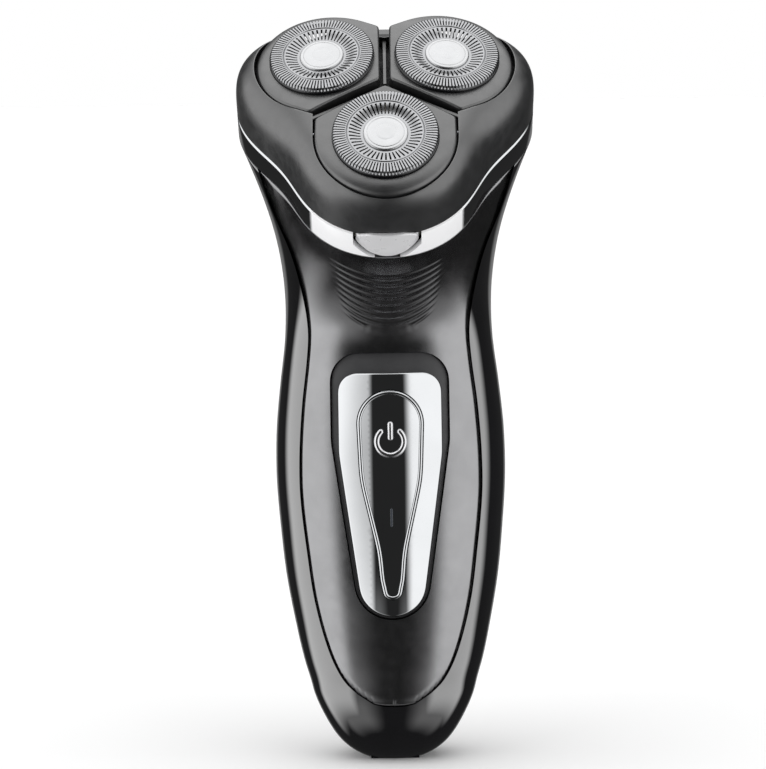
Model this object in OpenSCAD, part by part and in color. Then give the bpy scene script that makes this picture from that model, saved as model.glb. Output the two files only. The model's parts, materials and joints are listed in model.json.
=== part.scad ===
// Rotary electric shaver with three floating heads.
// The handle stands along +Z, its front faces -Y, and the origin is on the flat foot at its base.
// The shaving head sits on a plane that leans forwards; head parts are drawn in a frame of their own,
// with X across, Y up the slope and Z out of the shaving face, and are then put in place.

/* [Handle] */
// Height on the axis where the collar starts
neck_top = 130.7; // [129:0.1:132]
// Half width of the handle at its widest
grip_half_w = 24.6; // [24:0.1:26]
// Depth from the axis to the front of the grip
grip_front = 18.6; // [18:0.1:20]
// Depth from the axis to the back of the grip
grip_back = 19.8; // [19:0.1:21]
// Wall thickness of the shells
wall = 1.8; // [1.4:0.1:2.2]
// Gap along the seam between the shells
seam_gap = 0.15; // [0.1:0.05:0.3]

/* [Collar and head] */
// Forward lean of the shaving face from level, in degrees
head_tilt = 45; // [45:1:45]
// Height of the chrome collar band, along the head's own axis
band_h = 6.4; // [6:0.1:7]
// Height of the shaving head's crown above the middle of the band
crown_h = 19; // [18.6:0.1:19.2]
// Gap between the head and the band
head_gap = 0.25; // [0.2:0.05:0.4]
// Gap round each petal
petal_gap = 0.45; // [0.4:0.05:0.6]

/* [Shaving caps] */
// Radius of one shaving cap
cap_r = 11; // [10.8:0.1:11.1]
// Distance from the head's centre to each cap's centre
cap_ring_r = 15.2; // [15.1:0.1:15.4]
// Outward lean of each cap, in degrees
cap_lean = 5; // [3:0.5:6]
// Height of each cap's top over the middle of the band
cap_top = 18.9; // [18.7:0.1:19.2]
// Slots in the outer track of a cap
outer_slots = 48; // [24:4:60]
// Slots in the inner track of a cap
inner_slots = 24; // [12:4:36]

/* [Gear drive] */
// Gear module
gear_m = 0.5; // [0.5:0.1:0.5]
// Teeth on the motor pinion
pinion_teeth = 12; // [12:1:12]
// Teeth on each drive gear
gear_teeth = 48; // [48:1:48]
// Radial clearance of running fits
running_fit = 0.08; // [0.05:0.01:0.1]

/* [Motor and power] */
// Motor can length
motor_len = 19; // [16:0.5:20]
// Motor can width across its round sides
motor_w = 20; // [18:0.5:20]
// Motor can width across its flats
motor_flat = 15; // [14:0.5:15]
// Battery cell diameter
cell_d = 14; // [13:0.5:14.5]
// Battery cell length
cell_len = 50; // [44:1:50]

/* [Trimmer] */
// Width of the pop-up trimmer
trimmer_w = 20; // [18:0.5:22]
// Height of the trimmer's hinge above the base
trimmer_z = 67; // [66:0.5:68]

/* [Hidden] */
$fn = 48;

// Height, half width, front depth and back depth of the handle's sections
STATIONS = [
    [0, 17, 10, 11.5],
    [8, 16.35, 11.6, 13.1],
    [16, 17.75, 12.7, 14.2],
    [22, 19.4, 13.95, 15.45],
    [28, 20.7, 15, 16.5],
    [40, 22.8, 17, 18.2],
    [52, 24, 18.2, 19.2],
    [62, grip_half_w, grip_front, grip_back],
    [72, 24.4, 18.3, 20.2],
    [82, 23.4, 17.2, 20.8],
    [92, 22.1, 16, 22.6],
    [104, 21.2, 15.6, 26.4],
    [116, 21, 15.6, 28.4],
    [132, 22, 15.6, 28.4]];
// Height and half width of the seam that bounds the front shell
SEAM = [[15.2, 6.7], [18.8, 10.4], [25.2, 13.5], [36, 16.3], [47, 17.8], [59, 19], [68, 19],
    [78, 18.3], [88, 17.1], [94, 16.8], [101, 17.8], [110, 20.3], [120, 24.7], [127, 26.9], [134, 29]];
seam_bottom = 13.4;
// Cosine terms of the rounded triangle that the collar and head follow
LOBES = [28.4, 0, -1, 3.2, 0.7, -0.9];

columns = 44;
inner_columns = 30;
section_power = 2.4;
nose_h = 16;
// Level top of the release button, and the arc of its lower edge
button_top = 114.5;
button_arc_r = 7;
button_arc_s = 5.8;
// Highest point of the release button along the head's axis
button_lip = 4.35;
foot_rise = 1;
tilt_start = 84;
petal_floor = 11.2;
petal_r = 15.1;
petal_reach = 29.5;
groove_half = 1;
blades = 9;
cell_y = 3.2;
cell_foot = 29.6;
pivot_y = -1;
pivot_z = 133;
axis_shift = band_h / 2 * sin(head_tilt) + pivot_y;
band_lo = -band_h / 2;
band_hi = band_h / 2;
head_base = band_hi + head_gap;
gear_ring_r = gear_m * (pinion_teeth + gear_teeth) / 2;
// Place and size of the head's hinge at the back of the collar, in the head's frame
hinge_u = 27.6;
hinge_s = 1.8;
knuckle_r = 1.8;
hinge_pin_r = 0.9;
// The petals' pivot pins. Each rocking axis has its depth under the cap's top and its lean,
// which takes the rear petals' outer pins down into the low back of the frame
pivot_pin_r = 0.45;
pivot_pin_l = 1.7;
pivot_pin_x = petal_r - 0.35;
pivot_pin_y = 2.5;
pivot_drops = [4.1, 5.6, 5.6];
pivot_leans = [0, 5.3, -5.3];
// Screws that hold the drive deck, between the gears
screw_ring_r = 16.5;

// The charging inlet's two wells
well_x = 2.6;
well_r = 2;
inlet_pin_r = 0.75;
// Where the trimmer's hinge line lies behind the axis
trimmer_y = 16.4;

// ---- Functions ----
function mix(a, b, t) = a + (b - a) * t;
function grade(T, i, c) = let (lo = max(i - 1, 0), hi = min(i + 1, len(T) - 1))
    (T[hi][c] - T[lo][c]) / (T[hi][0] - T[lo][0]);
function hermite(p, q, m, n, w, t) =
    p * (2 * pow(t, 3) - 3 * t * t + 1) + m * w * (pow(t, 3) - 2 * t * t + t)
    + q * (3 * t * t - 2 * pow(t, 3)) + n * w * (pow(t, 3) - t * t);
// Smooth value of column c of the table T at x
function curve(T, x, c, i = 0) = x > T[i + 1][0] && i < len(T) - 2 ? curve(T, x, c, i + 1)
    : let (w = T[i + 1][0] - T[i][0])
    hermite(T[i][c], T[i + 1][c], grade(T, i, c), grade(T, i + 1, c), w, (x - T[i][0]) / w);
// Radius of the rounded triangle at angle a, measured from its front lobe
function lobe_r(a) = let (n = len(LOBES) - 1) [for (k = [0:n]) LOBES[k] * cos(k * a)] * [for (k = [0:n]) 1];
function rise(h) = h < tilt_start ? 0 : (h - tilt_start) / (neck_top - tilt_start);
function tilt(h) = atan(pow(rise(h), 1.5));
function nose(h) = h >= nose_h ? 1 : sqrt(1 - pow(1 - (h + foot_rise) / (nose_h + foot_rise), 2));
function handle_r(a, h) = let (
    w = curve(STATIONS, h, 1),
    d = curve(STATIONS, h, cos(a) > 0 ? 2 : 3),
    m = section_power)
    nose(h) * pow(pow(abs(sin(a)) / w, m) + pow(abs(cos(a)) / d, m), -1 / m);
function body_r(a, h) = mix(handle_r(a, h), lobe_r(a), pow(rise(h), 2.4));
// A point of the handle's skin at angle a from the front, axis height h, depth off under the skin
function body_pt(a, h, off = 0) = let (r = body_r(a, h) - off, t = tilt(h))
    [r * sin(a), axis_shift * pow(rise(h), 2) - r * cos(a) * cos(t), h - r * cos(a) * sin(t)];
function heights(lo) = concat([for (i = [0:6]) lo + (nose_h - lo) * (1 - cos(i * 15))],
    [for (h = [21:7:126]) h], [neck_top]);
function around(n = columns) = [for (i = [0:n - 1]) i * 360 / n];
function shifted(ring, v) = [for (p = ring) p + v];

// ---- Shared shapes ----
// Closed skin over rings of points, each ring anticlockwise seen from its far end
module loft(rings) {
    n = len(rings[0]);
    m = len(rings);
    sides = [for (j = [0:m - 2]) for (i = [0:n - 1]) let (k = (i + 1) % n)
        each [[j * n + i, (j + 1) * n + i, (j + 1) * n + k], [j * n + i, (j + 1) * n + k, j * n + k]]];
    polyhedron([for (r = rings) each r],
        concat(sides, [[for (i = [0:n - 1]) i]], [[for (i = [n - 1:-1:0]) (m - 1) * n + i]]));
}
// Solid of the handle, off inside its skin; extra carries the top past the collar plane
module body_solid(off = 0, extra = 0, n = columns) {
    rings = [for (h = heights(off)) [for (a = around(n)) body_pt(a, h, off)]];
    top = rings[len(rings) - 1];
    out = [0, -sin(head_tilt), cos(head_tilt)];
    loft(extra > 0 ? concat(rings, [shifted(top, out * extra)]) : rings);
}
// Puts head parts, drawn in the head's frame, in place
module on_head() {
    translate([0, pivot_y, pivot_z]) rotate([head_tilt, 0, 0]) children();
}
// The third of the head that cap k sits in
module on_third(k) {
    on_head() rotate([0, 0, 120 * (k - 1)]) children();
}
// A cap's own frame within its third: origin at the middle of its top, Z along its axis
module in_cap_frame() {
    translate([0, -cap_ring_r, cap_top]) rotate([cap_lean, 0, 0]) children();
}
module on_cap(k) {
    on_third(k) in_cap_frame() children();
}
// Outline of the rounded triangle, shrunk by off
module lobe_outline(off = 0) {
    polygon([for (a = around()) (lobe_r(a) - off) * [sin(a), -cos(a)]]);
}
// Draws a flat shape, given as X and height, as a solid that runs from y0 to y1
module front_prism(y0, y1) {
    translate([0, y1, 0]) rotate([90, 0, 0]) linear_extrude(y1 - y0) children();
}
// The front shell's outline seen from the front
module seam_outline(grow = 0) {
    zs = [for (z = [16:4:132]) z];
    half = concat([[0, seam_bottom - grow], [4.4, seam_bottom + 0.6 - grow]],
        [for (z = zs) [curve(SEAM, z, 1) + grow, z]]);
    polygon(concat(half, [for (i = [len(half) - 1:-1:1]) [-half[i][0], half[i][1]]]));
}
// A drop-like outline: flat wide top, sides drawn in towards a round foot
module keyhole(half_top, half_foot, top, foot, corner) {
    hull() {
        for (x = [-1, 1]) translate([x * (half_top - corner), top - corner]) circle(corner);
        for (x = [-1, 1]) translate([x * (half_top - corner), mix(foot, top, 0.68)]) circle(corner);
        translate([0, foot + half_foot]) circle(half_foot);
    }
}
// Outline of the power button: a wide head and a slim tail
module button_outline_2d(grow = 0) {
    offset(grow) {
        hull() {
            translate([0, 74.7]) circle(6.9);
            translate([0, 64]) circle(6.5);
        }
        hull() {
            translate([0, 64]) circle(6.5);
            translate([0, 48]) circle(3);
        }
        hull() {
            translate([0, 48]) circle(3);
            translate([0, 39.6]) circle(2.4);
        }
    }
}

// ---- Handle ----
module rear_shell() color("#15161a") resize([0, 0, 0]) difference() {
    body_solid();
    body_solid(wall, 3, inner_columns);
    front_prism(-60, 3) seam_outline(seam_gap);
    translate([-5.4, -3.3, -1]) cube([10.8, 6.6, 6]);
    translate([-trimmer_w / 2 - 1.5, 14, trimmer_z - 4.5]) cube([trimmer_w + 3, 20, 36.5]);
    translate([-4.8, 15, 50.5]) cube([9.6, 20, 10]);
    for (x = [-1, 1]) translate([x * 9, 10, 34]) rotate([-90, 0, 0]) cylinder(20, 2.4, 2.4);
}
module front_shell() color("#4a4c52") resize([0, 0, 0]) difference() {
    intersection() {
        body_solid();
        front_prism(-60, 3) seam_outline();
    }
    body_solid(wall, 3, inner_columns);
    front_prism(-60, 0) keyhole(12.5, 8.6, 89.4, 31.8, 6);
}
module control_bezel() color("#08080a") resize([0, 0, 0]) difference() {
    intersection() {
        body_solid(0.9);
        front_prism(-60, -10) keyhole(12.35, 8.45, 89.25, 31.95, 6);
    }
    body_solid(3.4);
    front_prism(-60, 0) button_outline_2d(0.5);
}
module chrome_insert() color("#d8d9dc") resize([0, 0, 0]) difference() {
    intersection() {
        body_solid(0.1);
        front_prism(-60, -10) keyhole(10.6, 6.2, 85.3, 34.1, 4);
    }
    body_solid(0.9);
    front_prism(-60, 0) button_outline_2d(0.5);
}
module power_button() color("#0b0b0d") union() {
    resize([0, 0, 0]) difference() {
        intersection() {
            body_solid(-0.35);
            front_prism(-60, -10) button_outline_2d(0);
        }
        body_solid(2.8);
        // A shallow seat for the power mark
        translate([0, -18.68, 71]) rotate([90, 0, 0]) cylinder(2, 4.4, 4.4);
    }
    translate([0, -16.6, 70]) rotate([-90, 0, 0]) cylinder(3.7, 1.4, 1.4);
}
module button_outline() color("#e4e5e8") resize([0, 0, 0]) difference() {
    intersection() {
        body_solid(-0.6);
        front_prism(-60, -10) button_outline_2d(-0.1);
    }
    body_solid(-0.35);
    front_prism(-60, 0) button_outline_2d(-0.8);
}
module power_icon() color("#f2f2f4") translate([0, -18.7, 71]) rotate([90, 0, 0]) linear_extrude(0.5) {
    difference() {
        circle(3.5, $fn = 80);
        circle(2.3, $fn = 80);
        translate([-1.4, 0]) square([2.8, 5]);
    }
    translate([-0.6, 0.1]) square([1.2, 4]);
}

// ---- Collar, gears and motor ----
module chrome_band() color("#dfe0e3") on_head() difference() {
    loft([
        [for (a = around()) [lobe_r(a) * sin(a), -lobe_r(a) * cos(a), band_lo]],
        [for (a = around()) [lobe_r(a) * sin(a), -lobe_r(a) * cos(a), band_hi - 0.7]],
        [for (a = around()) [(lobe_r(a) - 0.6) * sin(a), -(lobe_r(a) - 0.6) * cos(a), band_hi]]]);
    translate([0, 0, band_lo - 1]) linear_extrude(band_h + 2) lobe_outline(1.6);
    intersection() {
        translate([-7.05, -40, band_lo - 1]) cube([14.1, 20, band_h + 2]);
        translate([0, -20, button_arc_s - 0.4]) rotate([90, 0, 0]) cylinder(20, button_arc_r + 2, button_arc_r + 2);
    }
    for (x = [-1, 1]) translate([x * 9 - 2.2, 20, band_lo + 0.8]) cube([4.4, 12, band_h]);
}
module drive_deck() color("#2b2c30") on_head() difference() {
    union() {
        translate([0, 0, 1.4]) linear_extrude(1.2) lobe_outline(1.7);
        for (k = [0:2]) rotate([0, 0, 120 * k]) translate([0, -gear_ring_r, 1.4]) cylinder(2.6, 4, 4);
    }
    for (k = [0:2]) rotate([0, 0, 120 * k]) translate([0, -gear_ring_r, 0]) cylinder(6, 2.7, 2.7);
    for (k = [0:2]) rotate([0, 0, 60 + 120 * k]) translate([0, -screw_ring_r, 0]) cylinder(6, 1.1, 1.1);
    translate([-7.2, -40, 0]) cube([14.4, 14.4, 6]);
}
module deck_seal() color("#1d1d1f") on_head() translate([0, 0, 2.6]) linear_extrude(0.7) difference() {
    lobe_outline(3.9);
    lobe_outline(5.1);
}
module motor_plate() color("#3a3b40") on_head() difference() {
    translate([0, 0, -4]) linear_extrude(1.4) lobe_outline(4.5);
    translate([0, 0, -5]) cylinder(4, 4, 4);
    for (x = [-1, 1]) translate([x * 7, 0, -5]) cylinder(4, 1, 1);
    translate([-8, -40, -5]) cube([16, 15, 4]);
}
module motor_can() color("#b9bcc2") on_head() {
    translate([0, 0, -4.2 - motor_len]) intersection() {
        cylinder(motor_len, motor_w / 2, motor_w / 2);
        translate([-motor_w, -motor_flat / 2, 0]) cube([2 * motor_w, motor_flat, motor_len]);
    }
    translate([0, 0, -4.2]) cylinder(1.4, 3.2, 3.2);
}
module toothed(teeth, phase) {
    rp = gear_m * teeth / 2;
    pitch = 360 / teeth;
    polygon([for (i = [0:teeth - 1]) for (p = [[-0.36, -1.1], [-0.13, 0.85], [0.13, 0.85], [0.36, -1.1]])
        let (a = (i + p[0]) * pitch + phase, r = rp + p[1] * gear_m) [r * sin(a), -r * cos(a)]]);
}
module motor_pinion() color("#e8e2cf") on_head() {
    translate([0, 0, -1.8]) linear_extrude(2.8) toothed(pinion_teeth, 0);
    translate([0, 0, -2.7]) cylinder(1.2, 1, 1);
}
// The gear's tooth gap faces the pinion, so the teeth are in mesh at rest
module drive_gear(k) color("#efe9d8") on_third(k) translate([0, -gear_ring_r, 0]) difference() {
    union() {
        translate([0, 0, -1.6]) linear_extrude(2.4) toothed(gear_teeth, 180 / gear_teeth);
        translate([0, 0, 0]) cylinder(6, 2.7 - running_fit, 2.7 - running_fit);
    }
    translate([0, 0, -1.2]) cylinder(8, 1.9, 1.9);
}
module spindle(k) color("#c9ccd1") on_third(k) translate([0, -gear_ring_r, 0]) {
    translate([0, 0, 3.6]) cylinder(8, 1.9 - running_fit, 1.9 - running_fit);
    translate([-0.6, -1.6, 11]) cube([1.2, 3.2, 3]);
}
module spindle_spring(k) color("#8d9096") on_third(k) translate([0, -gear_ring_r, -0.8]) {
    for (i = [0:4]) translate([0, 0, i * 0.7]) rotate_extrude() translate([1.3, 0]) circle(0.38);
}
module collar_hinge() color("#2b2c30") on_head() difference() {
    union() {
        for (x = [-1, 1]) translate([x * 9 - 2, 25.4, band_lo + 1]) cube([4, 2.6, band_h - 2.2]);
        for (x = [-1, 1]) translate([x * 9 - 2, hinge_u, hinge_s]) rotate([0, 90, 0])
            cylinder(4, knuckle_r, knuckle_r);
    }
    translate([-20, hinge_u, hinge_s]) rotate([0, 90, 0]) cylinder(40, hinge_pin_r + running_fit,
        hinge_pin_r + running_fit);
}

// ---- Inside the handle ----
module inner_chassis() color("#e9e6dc") difference() {
    union() {
        translate([-16, -6.4, 27]) cube([32, 1.6, 62]);
        for (x = [-16, 14.6]) translate([x, -6.4, 27]) cube([1.4, 9, 62]);
        for (z = [27, 81.5]) translate([-16, -6.4, z]) cube([32, 12, 1.6]);
    }
    for (x = [-1, 1]) translate([x * 7.3, -10, 30]) rotate([-90, 0, 0]) cylinder(12, 1, 1);
}
module battery_cell(x) color("#4e7f4d") translate([x * (cell_d / 2 + 0.2), cell_y, cell_foot]) {
    cylinder(cell_len, cell_d / 2, cell_d / 2);
    cylinder(cell_len + 1, 2.5, 2.5);
}
module battery_tabs() color("#c4c6c9") {
    translate([-9, 1, 80.7]) cube([18, 4, 0.4]);
    for (x = [-1, 1]) translate([x * 7.2 - 2, 1, 29]) cube([4, 4, 0.5]);
}
module circuit_board() color("#1f5a34") difference() {
    translate([-11, -9.6, 36]) cube([22, 1.4, 54]);
    for (x = [-1, 1], z = [39, 87]) translate([x * 9, -11, z]) rotate([-90, 0, 0]) cylinder(5, 1, 1);
}
module tact_switch() color("#303236") {
    translate([-3, -11.4, 67]) cube([6, 1.8, 6]);
    translate([0, -11.2, 70]) rotate([90, 0, 0]) cylinder(0.6, 1.4, 1.4);
}
module indicator_light() color("#9fd6ff") {
    translate([0, -9.6, 50]) rotate([90, 0, 0]) cylinder(3.2, 1.2, 1.2);
}
// The web between the two wells carries the origin
module charging_inlet() color("#101114") difference() {
    union() {
        translate([-5.2, -3.1, 0]) cube([10.4, 6.2, 9]);
        translate([-6.4, -4.2, 5.5]) cube([12.8, 8.4, 1.4]);
    }
    for (x = [-1, 1]) translate([x * well_x, 0, -1]) cylinder(7, well_r, well_r);
    for (x = [-1, 1]) translate([x * well_x, 0, 5]) cylinder(6, inlet_pin_r + running_fit, inlet_pin_r + running_fit);
}
module inlet_pins() color("#d6c184") {
    for (x = [-1, 1]) translate([x * well_x, 0, 1]) cylinder(9.5, inlet_pin_r, inlet_pin_r);
}
module shell_screws() color("#8f9298") {
    for (x = [-1, 1]) translate([x * 9, 14.2, 34]) rotate([-90, 0, 0]) cylinder(1.2, 2.1, 2.1);
    for (x = [-1, 1]) translate([x * 9, 11.2, 34]) rotate([-90, 0, 0]) cylinder(3.2, 1, 1);
}
module deck_screws() color("#8f9298") on_head() for (k = [0:2]) rotate([0, 0, 60 + 120 * k]) {
    translate([0, -screw_ring_r, -2]) cylinder(5, 1, 1);
    translate([0, -screw_ring_r, 2.7]) cylinder(1, 2, 2);
}
// A D-shaped button: flat level top, round lower edge, and a thin web that closes the notch round it.
// Its back is hollowed to clear the front gear while it is pressed.
module release_button() color("#c3c5c9") difference() {
    on_head() difference() {
        union() {
            intersection() {
                translate([0, -18, band_lo]) cylinder(button_lip - band_lo, 13, 13);
                translate([-6.6, -40, band_lo]) cube([13.2, 12.8, 9]);
                translate([0, -20, button_arc_s]) rotate([90, 0, 0]) cylinder(14, button_arc_r, button_arc_r);
            }
            intersection() {
                translate([0, -18, band_lo + 0.3]) cylinder(8, 11.8, 11.8);
                translate([-6.6, -40, band_lo]) cube([13.2, 12.8, 9]);
                translate([0, -20, button_arc_s - 0.4]) rotate([90, 0, 0])
                    cylinder(14, button_arc_r + 1.6, button_arc_r + 1.6);
            }
        }
        translate([0, -gear_ring_r, -9]) cylinder(10.2, 13.9, 13.9);
    }
    translate([-20, -60, button_top]) cube([40, 60, 20]);
}

// ---- Shaving head ----
// The crown's shoulder is square at the three lobes and softer towards the back
function dome_power(a) = 5.6 + 0.9 * cos(3 * a) - 2.8 * pow(max(0, 0.35 - cos(a)) / 1.35, 1.2);
function dome_pt(a, f, off, base) = let (
    e = 2 / dome_power(a),
    q = pow(sin(f), e),
    c = pow(cos(f), e),
    r = q * (lobe_r(a) - 0.2 - off))
    [r * sin(a), -r * cos(a), base + (crown_h - 1.6 * q * q - off - base) * c];
module dome_solid(off, base) {
    loft([for (f = [90, 86, 78, 68, 56, 43, 30, 18, 9, 3, 0.4])
        [for (a = around()) dome_pt(a, f, off, base)]]);
}
// Round outline of a petal's outer edge, in the head's frame, for the front third
module petal_round() union() {
    translate([0, petal_r - petal_reach]) circle(petal_r);
    translate([-petal_r, petal_r - petal_reach]) square([2 * petal_r, petal_reach - petal_r + 3]);
}
// One petal's flat outline: the round edge, and straight sides along the Y-shaped groove
module petal_outline() intersection() {
    offset(-groove_half) polygon([[0, 0], [40 * sin(60), -40 * cos(60)], [0, -60],
        [-40 * sin(60), -40 * cos(60)]]);
    offset(-petal_gap) petal_round();
}
module petal_prism() translate([0, 0, petal_floor]) linear_extrude(20) petal_outline();
// Pins that petal k rocks on, one at each side, from the petal's edge into the frame
module pivot_pair(k, r) in_cap_frame()
    translate([0, pivot_pin_y, -pivot_drops[k - 1]]) rotate([0, pivot_leans[k - 1], 0])
        for (x = [-1, 1]) translate([x * pivot_pin_x - pivot_pin_l / 2, 0, 0])
            rotate([0, 90, 0]) cylinder(pivot_pin_l, r, r);
module petal_pins() color("#a9acb2") for (k = [1:3]) on_third(k) pivot_pair(k, pivot_pin_r);
module head_frame() color("#3b3c41") resize([0, 0, 0]) difference() {
    on_head() union() {
        difference() {
            dome_solid(0, head_base);
            dome_solid(2, head_base - 1);
            translate([0, 0, petal_floor - 0.9]) linear_extrude(20)
                for (k = [0:2]) rotate([0, 0, 120 * k]) petal_round();
            translate([-6.8, 22.8, 0]) cube([13.6, 10, 5.6]);
            for (k = [0:2]) rotate([0, 0, 120 * k]) pivot_pair(k + 1, pivot_pin_r + running_fit);
        }
        // A low rib stands in each arm of the groove between the petals
        intersection() {
            union() {
                for (k = [0:2]) rotate([0, 0, 60 + 120 * k]) translate([-0.45, -20.5, 11]) cube([0.9, 19.9, 5.4]);
                translate([0, 0, 11]) cylinder(5.4, 0.97, 0.97);
            }
            dome_solid(1, head_base);
        }
    }
    translate([-7.1, -60, button_top - 20.35]) cube([14.2, 42, 20.7]);
    // The same notch again along the way that the button is pressed
    on_head() intersection() {
        translate([-7.1, -34, 0]) cube([14.2, 8.2, button_lip + 0.2]);
        translate([0, -20, -7.95]) rotate([90, 0, 0]) cylinder(14, 13, 13);
    }
}
module head_hinge() color("#3b3c41") on_head() difference() {
    union() {
        translate([-6.6, 23, head_base + 0.2]) cube([13.2, 5.6, 1.8]);
        translate([-6.6, hinge_u - 1.4, hinge_s]) cube([13.2, 2.8, 3]);
        translate([-6.6, hinge_u, hinge_s]) rotate([0, 90, 0]) cylinder(13.2, knuckle_r, knuckle_r);
    }
    translate([-20, hinge_u, hinge_s]) rotate([0, 90, 0]) cylinder(40, hinge_pin_r, hinge_pin_r);
}
module hinge_pin() color("#a9acb2") on_head() {
    translate([-11, hinge_u, hinge_s]) rotate([0, 90, 0]) cylinder(22, hinge_pin_r, hinge_pin_r);
}
module cutter_holder() color("#d9d6cc") on_head() difference() {
    translate([0, 0, 7.6]) union() {
        for (k = [0:2]) rotate([0, 0, 120 * k]) translate([0, -gear_ring_r, 0]) cylinder(1.4, 8, 8);
        for (k = [0:2]) rotate([0, 0, 60 + 120 * k]) translate([-2, -20, 0]) cube([4, 20, 1.4]);
        cylinder(1.4, 9, 9);
    }
    for (k = [0:2]) rotate([0, 0, 120 * k]) translate([0, -gear_ring_r, 7]) cylinder(3, 5.6, 5.6);
    translate([0, 0, 7]) cylinder(3, 2, 2);
}
module holder_knob() color("#e8e6df") on_head() {
    translate([0, 0, 5.2]) cylinder(2.2, 4.6, 4.6);
    translate([-0.9, -4.4, 3.9]) cube([1.8, 8.8, 1.6]);
    translate([0, 0, 7]) cylinder(4, 2 - running_fit, 2 - running_fit);
}
module petal(k) color("#3f4045") on_third(k) resize([0, 0, 0]) difference() {
    union() {
        difference() {
            intersection() {
                dome_solid(0, head_base);
                petal_prism();
                in_cap_frame() translate([-30, -30, -21.1]) cube([60, 60, 20]);
            }
            dome_solid(2.8, head_base - 1);
        }
        intersection() {
            in_cap_frame() translate([0, 0, -6.2]) cylinder(4.6, 12.3, 12.3);
            dome_solid(0.4, head_base);
            petal_prism();
        }
    }
    in_cap_frame() translate([0, 0, -20]) cylinder(30, cap_r + 0.3, cap_r + 0.3);
    pivot_pair(k, pivot_pin_r + running_fit);
}
module cap(k) color("#cfd1d4") on_cap(k) difference() {
    rotate_extrude() polygon([[cap_r, -4.4], [cap_r, -0.4], [cap_r - 0.4, 0], [8.1, 0], [8, -0.25],
        [7.8, -0.25], [7.7, 0], [4.65, -0.9], [4.65, -1.4], [7.6, -0.55], [10.3, -0.55], [10.3, -4.4]]);
    for (i = [0:outer_slots - 1]) rotate([0, 0, i * 360 / outer_slots])
        translate([8.4, -0.14, -1]) cube([1.7, 0.28, 2]);
    for (i = [0:inner_slots - 1]) rotate([0, 0, i * 360 / inner_slots])
        translate([5.2, -0.2, -2]) cube([2.2, 0.4, 3]);
}
module cap_disc(k) color("#e3e4e6") on_cap(k) rotate_extrude() polygon([[0, -1.4], [4.65, -1.4],
    [4.65, -0.7], [4.3, -0.35], [0, -0.2]]);
module cutter(k) color("#dcdee2") on_cap(k) difference() {
    union() {
        translate([0, 0, -3]) cylinder(0.8, 6, 6);
        translate([0, 0, -6.2]) cylinder(3.7, 4, 4);
        for (i = [0:blades - 1]) rotate([0, 0, i * 360 / blades]) {
            translate([5.2, -0.4, -2.9]) cube([4.6, 0.8, 0.6]);
            translate([8.6, -0.35, -2.8]) cube([1.1, 0.7, 1.9]);
        }
    }
    translate([-1.3, -2.6, -7]) cube([2.6, 5.2, 3]);
}

// ---- Trimmer ----
module trimmer_tray() color("#101114") resize([0, 0, 0]) difference() {
    union() {
        intersection() {
            body_solid(0.15);
            translate([-trimmer_w / 2 - 1.3, 13.4, trimmer_z - 4.3]) cube([trimmer_w + 2.6, 20, 36]);
        }
        translate([-6.5, 13.4, 46]) cube([13, 1.4, 18]);
    }
    translate([-trimmer_w / 2 - 0.3, 14.4, trimmer_z - 3.6]) cube([trimmer_w + 0.6, 20, 34.6]);
    translate([-30, trimmer_y, trimmer_z]) rotate([0, 90, 0]) cylinder(60, 1 + running_fit, 1 + running_fit);
}
module trimmer_arm() color("#2c2d31") {
    translate([-trimmer_w / 2, trimmer_y, trimmer_z]) rotate([0, 90, 0]) cylinder(trimmer_w, 1.7, 1.7);
    translate([-trimmer_w / 2, trimmer_y - 1.4, trimmer_z]) cube([trimmer_w, 2.2, 25]);
    translate([-trimmer_w / 2 - 1.2, trimmer_y, trimmer_z]) rotate([0, 90, 0]) cylinder(trimmer_w + 2.4, 1, 1);
}
module trimmer_cover() color("#17181b") resize([0, 0, 0]) difference() {
    intersection() {
        body_solid(0.2);
        translate([-trimmer_w / 2, trimmer_y + 0.9, trimmer_z - 0.2]) cube([trimmer_w, 20, 30.4]);
    }
    translate([-30, 17, trimmer_z + 27]) rotate([35, 0, 0]) cube([60, 20, 20]);
    translate([-30, trimmer_y, trimmer_z]) rotate([0, 90, 0]) cylinder(60, 1.8, 1.8);
}
module trimmer_comb() color("#c9ccd1") difference() {
    translate([-trimmer_w / 2, trimmer_y - 0.6, trimmer_z + 25]) cube([trimmer_w, 0.6, 5.4]);
    for (i = [-9:9]) translate([i - 0.25, trimmer_y - 2, trimmer_z + 28]) cube([0.5, 4, 6]);
}
module trimmer_cutter() color("#b4b7bc") difference() {
    translate([-trimmer_w / 2 + 1.5, trimmer_y - 1.3, trimmer_z + 25.4]) cube([trimmer_w - 3, 0.6, 4.6]);
    for (i = [-8:8]) translate([i - 0.25, trimmer_y - 2, trimmer_z + 28.2]) cube([0.5, 3, 6]);
}
module trimmer_slider() color("#26272b") {
    translate([-4.5, 15.1, 51]) cube([9, 5.2, 5]);
    for (z = [51.6, 53.2, 54.8]) translate([-4, 20.2, z]) cube([8, 0.6, 0.6]);
}

rear_shell();
front_shell();
control_bezel();
chrome_insert();
chrome_band();
drive_deck();
deck_seal();
motor_plate();
motor_can();
motor_pinion();
inner_chassis();
battery_cell(-1);  // battery_cell_1
battery_cell(1);  // battery_cell_2
battery_tabs();
circuit_board();
tact_switch();
indicator_light();
charging_inlet();
inlet_pins();
shell_screws();
deck_screws();
collar_hinge();
power_button();
button_outline();
power_icon();
release_button();
head_frame();
head_hinge();
hinge_pin();
petal_pins();
cutter_holder();
holder_knob();
petal(1);  // petal_1
petal(2);  // petal_2
petal(3);  // petal_3
cap(1);  // cap_1
cap(2);  // cap_2
cap(3);  // cap_3
cap_disc(1);  // cap_disc_1
cap_disc(2);  // cap_disc_2
cap_disc(3);  // cap_disc_3
cutter(1);  // cutter_1
cutter(2);  // cutter_2
cutter(3);  // cutter_3
drive_gear(1);  // drive_gear_1
drive_gear(2);  // drive_gear_2
drive_gear(3);  // drive_gear_3
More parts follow.
